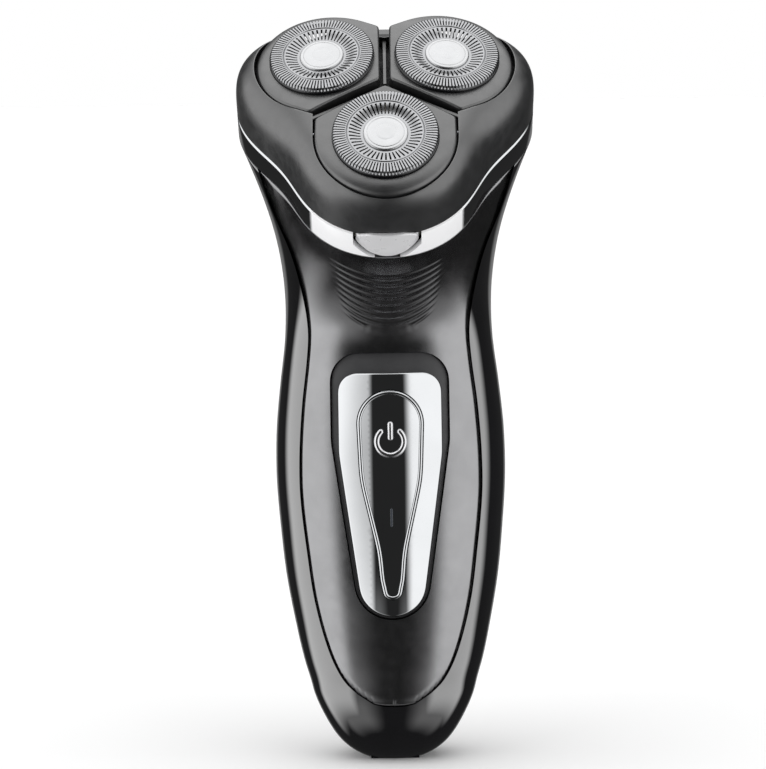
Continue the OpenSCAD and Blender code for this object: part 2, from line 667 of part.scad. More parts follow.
spindle(1);  // spindle_1
spindle(2);  // spindle_2
spindle(3);  // spindle_3
spindle_spring(1);  // spindle_spring_1
spindle_spring(2);  // spindle_spring_2
spindle_spring(3);  // spindle_spring_3
trimmer_tray();
trimmer_arm();
trimmer_cover();
trimmer_comb();
trimmer_cutter();
trimmer_slider();
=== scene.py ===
import json
import math

import bpy
import numpy as np
from mathutils import Matrix, Vector, geometry, interpolate
from mathutils.bvhtree import BVHTree
from mathutils.kdtree import KDTree

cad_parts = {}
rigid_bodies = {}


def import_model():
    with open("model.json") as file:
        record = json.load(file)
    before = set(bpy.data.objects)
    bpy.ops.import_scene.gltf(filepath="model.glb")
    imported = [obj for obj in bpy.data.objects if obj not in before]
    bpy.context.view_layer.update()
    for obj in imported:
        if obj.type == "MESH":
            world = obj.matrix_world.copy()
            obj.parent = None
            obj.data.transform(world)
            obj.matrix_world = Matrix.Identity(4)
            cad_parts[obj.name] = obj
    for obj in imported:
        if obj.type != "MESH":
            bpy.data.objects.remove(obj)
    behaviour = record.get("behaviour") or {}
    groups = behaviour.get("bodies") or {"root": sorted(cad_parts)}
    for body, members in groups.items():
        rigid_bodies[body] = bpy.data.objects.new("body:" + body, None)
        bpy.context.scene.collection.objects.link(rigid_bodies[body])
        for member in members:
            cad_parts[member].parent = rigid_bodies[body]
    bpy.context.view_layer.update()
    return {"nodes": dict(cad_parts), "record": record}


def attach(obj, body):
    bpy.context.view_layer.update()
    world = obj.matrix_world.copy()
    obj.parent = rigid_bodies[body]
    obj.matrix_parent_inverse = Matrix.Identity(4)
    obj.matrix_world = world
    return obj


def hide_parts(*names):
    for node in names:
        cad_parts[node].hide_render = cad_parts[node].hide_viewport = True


# Shapes are worked out in millimetres in the part's own frame, and become metres in build().
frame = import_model()
NODES = frame["nodes"]
MM = 0.001

# -------------------- camera
CAMERA_AT = (0, -0.5967, 0.1427)
CAMERA_DROP = 6
CAMERA_ROLL = -0.9


def make_camera():
    data = bpy.data.cameras.new("camera")
    data.lens = 130.75
    data.sensor_width = 36
    data.shift_x = -0.0086
    data.shift_y = 0.0065
    data.clip_start = 0.01
    obj = bpy.data.objects.new("camera", data)
    bpy.context.scene.collection.objects.link(obj)
    look = Matrix.Rotation(math.radians(90 - CAMERA_DROP), 4, "X")
    roll = Matrix.Rotation(math.radians(CAMERA_ROLL), 4, "Z")
    obj.matrix_world = Matrix.Translation(CAMERA_AT) @ look @ roll
    bpy.context.scene.camera = obj


make_camera()

# -------------------- the part's driving sizes
# Handle
NECK_TOP = 130.7
WALL = 1.8
SEAM_GAP = 0.2
SECTION_POWER = 2.4
NOSE_H = 16
FOOT_RISE = 1
TILT_START = 84
SKIN_INSET = 0.02
NECK_LEAN = 0.6
SCREW_X = 9
SCREW_Z = 34
SCREW_R = 2.4
# Collar and head, in the head's frame: Z along its axis, -Y towards its front lobe
PIVOT = (0, -1, 133)
HEAD_TILT = 45
BAND_H = 6.4
BAND_LO = -BAND_H / 2
BAND_HI = BAND_H / 2
COLLAR_INSET = 0.2
HINGE_X = 9
AXIS_SHIFT = BAND_H / 2 * math.sin(math.radians(HEAD_TILT)) + PIVOT[1]
HEAD_BASE = BAND_HI + 0.25
HEAD_INSET = 0.2
CROWN_H = 19
CROWN_FALL = 1.6
# Caps and petals
CAP_R = 11
CAP_RING_R = 15.2
CAP_LEAN = 5
CAP_TOP = 18.9
PETAL_FLOOR = 11.2
PETAL_R = 15.1
PETAL_REACH = 29.5
PETAL_GAP = 0.55
GROOVE_HALF = 1.0
# Release button: height of its top edge, and the arc of its lower edge in the head's frame
BUTTON_TOP = 114.5
BUTTON_LIP = 4.35
BUTTON_ARC_R = 7
BUTTON_ARC_S = 5.8
# Trimmer: width, and place of its hinge
TRIMMER_W = 20
TRIMMER_Y = 16.4
TRIMMER_Z = 67
# Keyhole outlines of the panel: half widths at top and foot, heights of top and foot, corner radius
WINDOW = (12.5, 8.1, 89.4, 32.7, 6)
RECESS = (12.6, 8.2, 89.5, 32.6, 6)
PLATE = (11.0, 7.2, 85.3, 33.3, 4)
# Height and half width of the circles that the power button's outline goes round
BUTTON_SPOTS = [(74.7, 6.9), (64, 6.5), (48, 3), (39.6, 2.4)]
BUTTON_RAISE = 0.35
# Height and radius of the power mark
ICON_Z = 71
ICON_R = 2.85
# Height, half width, front depth and back depth of the handle's sections
STATIONS = np.array([
    [0, 17, 10, 11.5], [8, 16.35, 11.6, 13.1], [16, 17.75, 12.7, 14.2], [22, 19.4, 13.95, 15.45],
    [28, 20.7, 15, 16.5], [40, 22.8, 17, 18.2],
    [52, 24, 18.2, 19.2], [62, 24.6, 18.6, 19.8], [72, 24.4, 18.3, 20.2], [82, 23.4, 17.2, 20.8],
    [92, 22.1, 16, 22.6], [104, 21.2, 15.6, 26.4], [116, 21, 15.6, 28.4], [132, 22, 15.6, 28.4]])
# Height and half width of the seam round the front shell
SEAM = np.array([
    [15.2, 6.7], [18.8, 10.4], [25.2, 13.5], [36, 16.3], [47, 17.8], [59, 19], [68, 19], [78, 18.3],
    [88, 17.1], [94, 16.8], [101, 17.8], [110, 20.3], [120, 24.7], [127, 26.9], [134, 29]])
SEAM_BOTTOM = 13.4
# Cosine terms of the head's rounded-triangle radius, from the constant up
LOBES = (28.4, 0, -1, 3.2, 0.7, -0.9)


# -------------------- the part's curves
def curve(table, x, column):
    """Smooth value of a column of the table at x."""
    x = np.asarray(x, float)
    key, value = table[:, 0], table[:, column]
    i = np.clip(np.searchsorted(key, x, side="left") - 1, 0, len(key) - 2)
    before = np.maximum(np.arange(len(key)) - 1, 0)
    after = np.minimum(np.arange(len(key)) + 1, len(key) - 1)
    slope = (value[after] - value[before]) / (key[after] - key[before])
    w = key[i + 1] - key[i]
    t = (x - key[i]) / w
    return (value[i] * (2 * t**3 - 3 * t * t + 1) + slope[i] * w * (t**3 - 2 * t * t + t)
            + value[i + 1] * (3 * t * t - 2 * t**3) + slope[i + 1] * w * (t**3 - t * t))


def smoothstep(lo, hi, x):
    t = np.clip((np.asarray(x, float) - lo) / (hi - lo), 0, 1)
    return t * t * (3 - 2 * t)


def lobe_r(a):
    """Radius of the rounded triangle at angle a, in radians from its front lobe."""
    return sum(c * np.cos(k * a) for k, c in enumerate(LOBES))


def rise(h):
    return np.maximum(0, (np.asarray(h, float) - TILT_START) / (NECK_TOP - TILT_START))


def tilt(h):
    return np.arctan(rise(h) ** 1.5)


def nose(h):
    inside = 1 - (1 - (h + FOOT_RISE) / (NOSE_H + FOOT_RISE)) ** 2
    return np.where(h >= NOSE_H, 1, np.sqrt(np.maximum(inside, 1e-9)))


def handle_r(a, h):
    w = curve(STATIONS, h, 1)
    d = np.where(np.cos(a) > 0, curve(STATIONS, h, 2), curve(STATIONS, h, 3))
    m = SECTION_POWER
    return nose(h) * (np.abs(np.sin(a) / w) ** m + np.abs(np.cos(a) / d) ** m) ** (-1 / m)


def body_pt(a, h, off=0.0, extra=None):
    """Points of the handle's skin at angle a from the front and axis height h, off under the skin."""
    a, h = np.broadcast_arrays(np.asarray(a, float), np.asarray(h, float))
    share = rise(h) ** 2.4
    r = handle_r(a, h) * (1 - share) + (lobe_r(a) - COLLAR_INSET) * share - SKIN_INSET - off
    if extra is not None:
        r = r + extra(a, h, r)
    t = tilt(h)
    c = r * np.cos(a)
    return np.stack([r * np.sin(a), AXIS_SHIFT * rise(h) ** 2 - c * np.cos(t), h - c * np.sin(t)], -1)


def front_skin(x, z):
    """Point and outward normal of the handle's front skin at x and z, by Newton's method."""
    first_r, step, rounds = 26, 1e-4, 14
    x, z = np.broadcast_arrays(np.asarray(x, float), np.asarray(z, float))
    a = np.arcsin(np.clip(x / first_r, -0.9, 0.9))
    h = z.copy()
    for _ in range(rounds):
        p = body_pt(a, h)
        pa = (body_pt(a + step, h) - p) / step
        ph = (body_pt(a, h + step) - p) / step
        dx, dz = x - p[..., 0], z - p[..., 2]
        det = pa[..., 0] * ph[..., 2] - ph[..., 0] * pa[..., 2]
        a = a + np.clip((dx * ph[..., 2] - dz * ph[..., 0]) / det, -0.2, 0.2)
        h = h + np.clip((dz * pa[..., 0] - dx * pa[..., 2]) / det, -4, 4)
    p = body_pt(a, h)
    n = np.cross(body_pt(a + step, h) - p, body_pt(a, h + step) - p)
    n /= np.linalg.norm(n, axis=-1, keepdims=True)
    n *= np.where(n[..., 1:2] > 0, -1, 1)
    return p, n


def dome_power(a):
    """How square the crown's shoulder is: square at the lobes and softer towards the back."""
    return 5.6 + 0.9 * np.cos(3 * a) - 2.8 * (np.maximum(0, 0.35 - np.cos(a)) / 1.35) ** 1.2


def dome_z(a, q, off=0.0, base=HEAD_BASE):
    p = dome_power(a)
    c = np.maximum(0, 1 - np.minimum(q, 1) ** p) ** (1 / p)
    return base + (CROWN_H - CROWN_FALL * q * q - off - base) * c


def dome_top(x, y, off=0.0):
    """Height of the head's crown over a point of the head's frame."""
    a = np.arctan2(x, -y)
    return dome_z(a, np.hypot(x, y) / (lobe_r(a) - HEAD_INSET - off), off)


def head_matrix(third=1):
    return (Matrix.Translation(PIVOT) @ Matrix.Rotation(math.radians(HEAD_TILT), 4, "X")
            @ Matrix.Rotation(math.radians(120 * (third - 1)), 4, "Z"))


def cap_matrix(third):
    """A cap's own frame: origin at the middle of its top, Z along its axis."""
    return (head_matrix(third) @ Matrix.Translation((0, -CAP_RING_R, CAP_TOP))
            @ Matrix.Rotation(math.radians(CAP_LEAN), 4, "X"))


def moved(points, matrix):
    m = np.array(matrix)
    return np.asarray(points, float) @ m[:3, :3].T + m[:3, 3]


# -------------------- outlines
def resample(points, step):
    """The closed outline at even steps."""
    p = np.asarray(points, float)
    p = np.vstack([p, p[:1]])
    along = np.concatenate([[0], np.cumsum(np.linalg.norm(np.diff(p, axis=0), axis=1))])
    count = max(12, int(round(along[-1] / step)))
    at = np.arange(count) * along[-1] / count
    return np.stack([np.interp(at, along, p[:, 0]), np.interp(at, along, p[:, 1])], 1)


def smoothed(points, rounds):
    p = np.asarray(points, float)
    for _ in range(rounds):
        p = (np.roll(p, 1, 0) + 2 * p + np.roll(p, -1, 0)) / 4
    return p


def outline_normals(points):
    """Outward unit normals of an anticlockwise outline."""
    d = np.roll(points, -1, 0) - np.roll(points, 1, 0)
    n = np.stack([d[:, 1], -d[:, 0]], 1)
    return n / np.linalg.norm(n, axis=1, keepdims=True)


def grown(points, by):
    return points + by * outline_normals(points)


def circle(cx, cy, r, count=96):
    t = np.arange(count) * 2 * math.pi / count
    return np.stack([cx + r * np.cos(t), cy + r * np.sin(t)], 1)


def hull(*loops):
    p = np.vstack(loops)
    return p[geometry.convex_hull_2d([tuple(v) for v in p])]


def anticlockwise(p):
    area = np.sum(p[:, 0] * np.roll(p[:, 1], -1) - np.roll(p[:, 0], -1) * p[:, 1])
    return p if area > 0 else p[::-1]


def keyhole(half_top, half_foot, top, foot, corner, step=0.35):
    """A drop-like outline: flat wide top, sides drawn in below the waist towards a round foot."""
    waist_share = 0.68
    waist = foot + waist_share * (top - foot)
    spots = [(s * (half_top - corner), z, corner) for s in (-1, 1) for z in (top - corner, waist)]
    spots.append((0, foot + half_foot, half_foot))
    outline = hull(*[circle(*s) for s in spots])
    return smoothed(resample(anticlockwise(outline), step), 6)


def right_side(loop, z):
    """Half width of a convex outline at heights z."""
    p = loop[loop[:, 0] >= -1e-6]
    p = p[np.argsort(p[:, 1])]
    return np.interp(z, p[:, 1], p[:, 0], left=-9, right=-9)


def button_outline(grow=0.0, step=0.35):
    """The power button: a wide head and a slim tail, with flanks drawn in between them."""
    count, rounds = 400, 500
    top, foot = sum(BUTTON_SPOTS[0]), BUTTON_SPOTS[-1][0] - BUTTON_SPOTS[-1][1]
    z = (top + foot) / 2 - (top - foot) / 2 * np.cos(np.linspace(0, math.pi, count))
    discs = [circle(0, at, r, 360) for at, r in BUTTON_SPOTS]
    half = np.max([right_side(hull(*pair), z) for pair in zip(discs, discs[1:])], axis=0)
    half[0] = half[-1] = 0
    ends = smoothstep(foot, foot + 4, z) * (1 - smoothstep(66, 72, z))
    even = np.linspace(foot, top, count)
    soft = np.interp(even, z, half)
    for _ in range(rounds):
        soft[1:-1] = (soft[:-2] + 2 * soft[1:-1] + soft[2:]) / 4
    half = half * (1 - ends) + np.interp(z, even, soft) * ends
    right = np.stack([half, z], 1)
    left = np.stack([-half[-2:0:-1], z[-2:0:-1]], 1)
    outline = smoothed(resample(anticlockwise(np.vstack([right, left])), step), 4)
    return grown(outline, grow) if grow else outline


def seam_outline(grow=0.0):
    """Closed outline round the front shell: both sides of SEAM, over a flat-bottomed foot."""
    z = np.arange(16, 133.01, 1)
    half = [(0, SEAM_BOTTOM - grow), (2.2, SEAM_BOTTOM + 0.1 - grow), (4.4, SEAM_BOTTOM + 0.6 - grow)]
    half += list(zip(curve(SEAM, z, 1) + grow, z))
    half = np.array(half)
    return np.vstack([half, half[:0:-1] * (-1, 1)])


# -------------------- mesh making
def build(name, points, faces, matrix=None, sharp=35, normals=None):
    """An object from points in millimetres. Normals, if given, are one per face corner, in order."""
    if matrix is not None:
        points = moved(points, matrix)
    mesh = bpy.data.meshes.new(name)
    mesh.from_pydata((np.asarray(points, float) * MM).tolist(), [], faces)
    mesh.validate()
    mesh.update()
    obj = bpy.data.objects.new(name, mesh)
    bpy.context.scene.collection.objects.link(obj)
    shade(mesh, sharp)
    if normals is not None:
        mesh.normals_split_custom_set([tuple(n) for n in normals])
    return obj


def shade(mesh, sharp):
    mesh.shade_smooth()
    mesh.set_sharp_from_angle(angle=math.radians(sharp))


def loft(name, rings, closed=False, **kw):
    """Skin over equal rings of points, each anticlockwise seen from its far end."""
    rings = np.asarray(rings, float)
    m, n = rings.shape[:2]
    faces = []
    for j in range(m if closed else m - 1):
        here, there = j * n, (j + 1) % m * n
        for i in range(n):
            k = (i + 1) % n
            faces.append((here + i, here + k, there + k, there + i))
    if not closed:
        faces.append(tuple(range(n - 1, -1, -1)))
        faces.append(tuple((m - 1) * n + i for i in range(n)))
    return build(name, rings.reshape(-1, 3), faces, **kw)


def prism(name, outline, lo, hi, matrix=None):
    """A straight solid over an anticlockwise outline, from lo to hi."""
    rings = [np.column_stack([outline, np.full(len(outline), v)]) for v in (lo, hi)]
    return loft(name, rings, matrix=matrix)


def front_prism(name, outline, y0, y1):
    """A solid over an outline of x and z, from y0 to y1."""
    p = np.asarray(outline)
    rings = [np.column_stack([p[:, 0], np.full(len(p), y), p[:, 1]]) for y in (y1, y0)]
    return loft(name, rings)


def block(name, lo, hi, matrix=None):
    (x0, y0, z0), (x1, y1, z1) = lo, hi
    return prism(name, np.array([[x0, y0], [x1, y0], [x1, y1], [x0, y1]], float), z0, z1, matrix)


def discard(obj):
    mesh = obj.data
    bpy.data.objects.remove(obj)
    bpy.data.meshes.remove(mesh)


def apply_modifiers(obj):
    bpy.context.view_layer.update()
    graph = bpy.context.evaluated_depsgraph_get()
    mesh = bpy.data.meshes.new_from_object(obj.evaluated_get(graph))
    obj.modifiers.clear()
    old, obj.data = obj.data, mesh
    bpy.data.meshes.remove(old)


def carve(obj, operation, *cutters):
    """Applies a boolean with each cutter, which is then removed."""
    for cutter in cutters:
        step = obj.modifiers.new("cut", "BOOLEAN")
        step.operation = operation
        step.solver = "MANIFOLD"
        step.object = cutter
        apply_modifiers(obj)
        discard(cutter)


def soften(obj, width):
    """Rounds every edge of a simple solid."""
    step = obj.modifiers.new("bevel", "BEVEL")
    step.width = width * MM
    step.segments = 3
    step.limit_method = "ANGLE"
    apply_modifiers(obj)
    shade(obj.data, 40)


def neck_lean(z):
    """How far the shading normals lean down through the neck, which flares softly into the head."""
    return NECK_LEAN * smoothstep(82, 104, z)


def fair(obj, twin, sharp=35, lean=None):
    """Gives the faces that lie on the uncut twin's skin its own smooth normals, then drops the twin.
    lean, if given, adds a downward share to them at each height in millimetres."""
    reach, same_way = 0.03 * MM, 0.8
    skin = twin.data
    places = [v.co.copy() for v in skin.vertices]
    tree = BVHTree.FromPolygons(places, [p.vertices[:] for p in skin.polygons])
    skin_normals = [v.normal.copy() for v in skin.vertices]
    mesh = obj.data
    shade(mesh, sharp)

    def smooth_normal(vertex):
        at, _, face, gap = tree.find_nearest(vertex.co, 3 * reach)
        if at is None or gap > reach:
            return None
        ring = skin.polygons[face].vertices
        weights = interpolate.poly_3d_calc([places[v] for v in ring], at)
        n = sum((skin_normals[v] * w for v, w in zip(ring, weights)), Vector())
        n.normalize()
        if lean is not None:
            n.z -= float(lean(at.z / MM))
        return n.normalized()

    found = [smooth_normal(v) for v in mesh.vertices]
    out = []
    for face in mesh.polygons:
        ns = [found[i] for i in face.vertices]
        on_skin = all(n is not None and n.dot(face.normal) > same_way for n in ns)
        out += [tuple(n) if on_skin else (0, 0, 0) for n in ns]
    mesh.normals_split_custom_set(out)
    discard(twin)


def inside(points, loop):
    """Which points lie inside a closed outline."""
    x, y = points[:, 0][:, None], points[:, 1][:, None]
    ax, ay = loop[:, 0][None], loop[:, 1][None]
    bx, by = np.roll(loop[:, 0], -1)[None], np.roll(loop[:, 1], -1)[None]
    crosses = (ay > y) != (by > y)
    with np.errstate(divide="ignore", invalid="ignore"):
        at = ax + (y - ay) * (bx - ax) / (by - ay)
    return (np.sum(crosses & (x < at), axis=1) % 2) == 1


def in_region(points, outer, holes):
    keep = inside(points, outer)
    for hole in holes:
        keep &= ~inside(points, hole)
    return keep


def fill(outer, holes, cell):
    """Triangles over a flat region: its outlines' points come first, then even ones a cell apart."""
    row_share, edge_share = 0.866, 0.55
    loops = [outer, *holes]
    points = np.vstack(loops)
    edges, start = [], 0
    for loop in loops:
        edges += [(start + i, start + (i + 1) % len(loop)) for i in range(len(loop))]
        start += len(loop)
    if cell:
        lo, hi = outer.min(0), outer.max(0)
        rows = []
        for j, y in enumerate(np.arange(lo[1] + cell / 2, hi[1], cell * row_share)):
            x = np.arange(lo[0] + cell * (0.5 + 0.5 * (j % 2)), hi[0], cell)
            rows.append(np.column_stack([x, np.full(len(x), y)]))
        grid = np.vstack(rows)
        grid = grid[in_region(grid, outer, holes)]
        gap = np.min(np.linalg.norm(grid[:, None] - points[None], axis=2), axis=1)
        points = np.vstack([points, grid[gap > edge_share * cell]])
    verts, _, faces, *_ = geometry.delaunay_2d_cdt([Vector(p) for p in points], edges, [], 1, 1e-6)
    if len(verts) != len(points):
        raise RuntimeError("an outline crosses itself")
    faces = np.array(faces)
    return points, faces[in_region(points[faces].mean(1), outer, holes)]


def inlay(name, outer, holes, top, bottom, place, edge=0.35, hole_edge=None, cell=0.9, crown=None):
    """A solid over a flat outline with a shaped top and rounded top edges.
    top and bottom give heights over points of the outline's plane, and place turns both into space.
    crown is a height added for the smooth normals alone, for a polished face's fuller reflections."""
    steps, tiny = 5, 1e-3
    crown = crown or level(0)
    hole_edge = edge if hole_edge is None else hole_edge
    points, normals, faces, rims, floors = [], [], [], [], []
    count = 0

    def surface_normal(xy):
        def bulged(at):
            return place(at, top(at) + crown(at) - crown(xy))

        here = bulged(xy)
        n = np.cross(bulged(xy + (tiny, 0)) - here, bulged(xy + (0, tiny)) - here)
        return n / np.linalg.norm(n, axis=1, keepdims=True)

    def add(xyz, n):
        nonlocal count
        points.append(xyz)
        normals.append(n)
        first = count
        count += len(xyz)
        return first

    # Round every outline: a wall from the bottom, and a quarter round up to the top
    for loop, side, radius in [(outer, 1, edge)] + [(hole, -1, hole_edge) for hole in holes]:
        out = outline_normals(loop) * side
        size = len(loop)
        across = place(loop + out * tiny, top(loop)) - place(loop, top(loop))
        across /= np.linalg.norm(across, axis=1, keepdims=True)
        rows = [add(place(loop, bottom(loop)), across)]
        for angle in math.pi / 2 * np.arange(steps + 1) / steps:
            xy = loop - out * radius * (1 - math.cos(angle))
            z = top(xy) - radius * (1 - math.sin(angle))
            n = across * math.cos(angle) + surface_normal(xy) * math.sin(angle)
            rows.append(add(place(xy, z), n / np.linalg.norm(n, axis=1, keepdims=True)))
        for a, b in zip(rows, rows[1:]):
            for i in range(size):
                k = (i + 1) % size
                quad = (a + i, a + k, b + k, b + i)
                faces.append(quad if side > 0 else (quad[1], quad[0], quad[3], quad[2]))
        rims.append((rows[-1], xy))
        floors.append((rows[0], loop))

    def index_of(edges):
        return np.concatenate([first + np.arange(len(loop)) for first, loop in edges])

    # The top, with even points inside it
    flat, tris = fill(rims[0][1], [loop for _, loop in rims[1:]], cell)
    index = index_of(rims)
    more = flat[len(index):]
    if len(more):
        inner = add(place(more, top(more)), surface_normal(more)) + np.arange(len(more))
        index = np.concatenate([index, inner])
    faces += [tuple(int(v) for v in index[t]) for t in tris]
    normals = np.vstack(normals)
    corner_normals = [normals[v] for face in faces for v in face]
    # The underside keeps its flat shading
    _, tris = fill(floors[0][1], [loop for _, loop in floors[1:]], 0)
    index = index_of(floors)
    faces += [tuple(int(v) for v in index[t][::-1]) for t in tris]
    corner_normals += [np.zeros(3)] * (3 * len(tris))
    return build(name, np.vstack(points), faces, sharp=50, normals=corner_normals)


def on_front(xy, h):
    """A point h outside the handle's front skin, over x and z."""
    p, n = front_skin(xy[:, 0], xy[:, 1])
    return p + n * np.asarray(h, float)[:, None]


def level(h):
    return lambda xy: np.full(len(xy), float(h))


# -------------------- materials
def add_node(tree, kind, **inputs):
    """A shader node with its inputs joined or set. Underscores stand for spaces in their names."""
    node = tree.nodes.new("ShaderNode" + kind)
    for name, value in inputs.items():
        plug(tree, node.inputs[name.replace("_", " ")], value)
    return node


def plug(tree, socket, value):
    if isinstance(value, bpy.types.NodeSocket):
        tree.links.new(value, socket)
    else:
        socket.default_value = value


def math_node(tree, kind, a, b=0.0):
    node = add_node(tree, "Math")
    node.operation = kind
    plug(tree, node.inputs[0], a)
    plug(tree, node.inputs[1], b)
    return node.outputs[0]


def mix_colors(tree, share, a, b):
    node = add_node(tree, "Mix")
    node.data_type = "RGBA"
    for socket, value in ((0, share), (6, a), (7, b)):
        plug(tree, node.inputs[socket], value)
    return node.outputs[2]


def noise(tree, coords, scale, detail):
    """A noise value over object coordinates, with scale in features per metre."""
    return add_node(tree, "TexNoise", Vector=coords, Scale=scale, Detail=detail).outputs[0]


def remap(tree, value, lo, hi, source=(0.3, 0.7)):
    return add_node(tree, "MapRange", Value=value, From_Min=source[0], From_Max=source[1],
                    To_Min=lo, To_Max=hi).outputs[0]


def finish_material(name, color, roughness, metallic=0.0, vary=0.12, rough_vary=0.15, grain=4000,
                    bump=0.02, ior=1.5, coat=0.0, coat_ior=1.5, specular=0.5, mottle=150):
    """A moulded, painted or plated surface: fine grain in bump, and slow drift in colour and gloss."""
    mat = bpy.data.materials.new(name)
    mat.use_nodes = True
    tree = mat.node_tree
    tree.nodes.clear()
    coords = add_node(tree, "TexCoord").outputs["Object"]
    dark = (*[c * (1 - vary) for c in color], 1)
    light = (*[min(1, c * (1 + vary)) for c in color], 1)
    tint = mix_colors(tree, remap(tree, noise(tree, coords, mottle, 4), 0, 1), dark, light)
    patch = noise(tree, coords, mottle * 3.1, 5)
    gloss = remap(tree, patch, roughness * (1 - rough_vary), roughness * (1 + rough_vary))
    relief = add_node(tree, "Bump", Strength=bump, Distance=0.0002, Height=noise(tree, coords, grain, 2))
    shader = add_node(tree, "BsdfPrincipled", Base_Color=tint, Roughness=gloss, Normal=relief.outputs[0],
                      Metallic=metallic, Specular_IOR_Level=specular, IOR=ior, Coat_Weight=coat,
                      Coat_Roughness=0.03, Coat_IOR=coat_ior)
    add_node(tree, "OutputMaterial", Surface=shader.outputs[0])
    return mat


def paint_front_reflection(mat, half, edge, color):
    """Paints a reflection onto a mirror finish: pale, matt colour over the object's front, within half of
    the middle, where a bright window would be reflected.
    edge is half the width of the change. Both are in millimetres."""
    tree = mat.node_tree
    shader = next(n for n in tree.nodes if n.type == "BSDF_PRINCIPLED")
    split = add_node(tree, "SeparateXYZ")
    plug(tree, split.inputs[0], add_node(tree, "TexCoord").outputs["Object"])
    across = math_node(tree, "ABSOLUTE", split.outputs[0])
    front = math_node(tree, "LESS_THAN", split.outputs[1], -10 * MM)
    near = remap(tree, across, 1, 0, ((half - edge) * MM, (half + edge) * MM))
    share = math_node(tree, "MULTIPLY", near, front)
    plain = shader.inputs["Base Color"].links[0].from_socket
    plug(tree, shader.inputs["Base Color"], mix_colors(tree, share, plain, (*color, 1)))
    plug(tree, shader.inputs["Metallic"], remap(tree, share, 1, 0, (0, 1)))


# Base colour, roughness, and whatever differs from a plain moulded plastic
FINISHES = {
    "gloss_black": ((0.004, 0.004, 0.005), 0.05, dict(vary=0.2, bump=0.003, rough_vary=0.3, ior=1.9,
                                                      coat=1.0, coat_ior=1.9)),
    "graphite_satin": ((0.25, 0.25, 0.255), 0.2, dict(metallic=1, vary=0.05, grain=9000, bump=0.03)),
    "black_trim": ((0.004, 0.004, 0.005), 0.15, dict(vary=0.2, bump=0.004)),
    "recess_grey": ((0.05, 0.05, 0.052), 0.35, dict(vary=0.1, bump=0.01)),
    "chrome": ((0.53, 0.54, 0.55), 0.035, dict(metallic=1, vary=0.02, bump=0.002, rough_vary=0.3)),
    # band_chrome also carries a painted reflection across its front middle, added below
    "band_chrome": ((0.53, 0.54, 0.55), 0.05, dict(metallic=1, vary=0.02, bump=0.002)),
    "satin_silver": ((0.42, 0.424, 0.43), 0.3, dict(metallic=1, vary=0.04, grain=5000, bump=0.03)),
    "icon_silver": ((0.6, 0.6, 0.61), 0.2, dict(metallic=1, vary=0.03)),
    "head_satin": ((0.016, 0.0163, 0.017), 0.34, dict(vary=0.1, grain=7000, bump=0.05, ior=2.0)),
    "latch_silver": ((0.72, 0.72, 0.73), 0.3, dict(metallic=0.15, vary=0.02, grain=5000, bump=0.01)),
    "inner_plastic": ((0.012, 0.012, 0.013), 0.5, dict(grain=3000, bump=0.05)),
    "seal_rubber": ((0.012, 0.012, 0.012), 0.7, dict(grain=2500, bump=0.08)),
    "cap_steel": ((0.3, 0.303, 0.31), 0.25, dict(metallic=1, vary=0.05, grain=6000, bump=0.03)),
    "motor_steel": ((0.45, 0.46, 0.48), 0.3, dict(metallic=1, bump=0.04)),
    "pale_nylon": ((0.6, 0.57, 0.5), 0.45, dict(grain=2500, bump=0.04)),
    "cell_wrap": ((0.05, 0.2, 0.07), 0.25, dict(grain=1500, bump=0.03)),
    "board_green": ((0.015, 0.09, 0.035), 0.3, dict(grain=1800, bump=0.05)),
    "switch_black": ((0.02, 0.02, 0.022), 0.4, {}),
    "lamp": ((0.05, 0.055, 0.065), 0.15, {}),
    "brass_pins": ((0.72, 0.57, 0.3), 0.22, dict(metallic=1)),
}
MATERIALS = {name: finish_material(name, color, roughness, **more)
             for name, (color, roughness, more) in FINISHES.items()}
# Painted reflection: the band's chrome turns pale and matt across its front middle, in place of a bright
# window reflected there
paint_front_reflection(MATERIALS["band_chrome"], 15.8, 0.3, (0.95, 0.95, 0.96))


def own(obj, body, slot, *nodes, material=None):
    """Gives a new piece its body and finish, and hides the CAD nodes that it stands for."""
    obj.data.materials.clear()
    obj.data.materials.append(MATERIALS[material or slot])
    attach(obj, body)
    if nodes:
        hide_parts(*nodes)
    return obj


# -------------------- handle shells
RIB_FIRST = 105.2
RIB_LAST = 94.0
RIB_COUNT = 9
RIB_HEIGHT = 0.12
RIB_REACH = (12.9, 10.3)
LIP_W = 1.1
LIP_DROP = 0.55


def front_view(a, h, r):
    """x and z of the skin's points."""
    return r * np.sin(a), h - r * np.cos(a) * np.sin(tilt(h))


def rib_relief(a, h, r):
    """Raised smile-shaped ridges on the neck's front, shorter and flatter towards the lowest."""
    x, z = front_view(a, h, r)
    bend, bend_more = 0.0273, 0.00185
    mid = (z - (bend + RIB_FIRST * bend_more) * x * x) / (1 - np.clip(bend_more * x * x, 0, 0.6))
    share = (RIB_FIRST - mid) / (RIB_FIRST - RIB_LAST)
    reach = RIB_REACH[0] + (RIB_REACH[1] - RIB_REACH[0]) * np.clip(share, 0, 1)
    phase = share * (RIB_COUNT - 1)
    wave = 0.5 + 0.5 * np.cos(2 * math.pi * phase)
    on_rows = (phase > -0.5) & (phase < RIB_COUNT - 0.5) & (np.cos(a) > 0.3)
    fade = 1 - smoothstep(reach - 3, reach, np.abs(x))
    return np.where(on_rows, RIB_HEIGHT * wave**1.5 * fade, 0)


def seam_relief(a, h, r):
    """The front shell's edge, rounded down along the seam."""
    flat = np.stack(front_view(a, h, r), -1).reshape(-1, 2)
    loop = resample(seam_outline(0), 0.25)
    tree = KDTree(len(loop))
    for i, (x, z) in enumerate(loop):
        tree.insert((x, z, 0), i)
    tree.balance()
    gap = np.array([tree.find((x, z, 0))[2] for x, z in flat])
    within = inside(flat, loop[::4])
    share = np.where(within, np.clip(1 - gap / LIP_W, 0, 1), 1)
    return (-LIP_DROP * (1 - np.sqrt(np.maximum(1 - share**2, 0)))).reshape(a.shape)


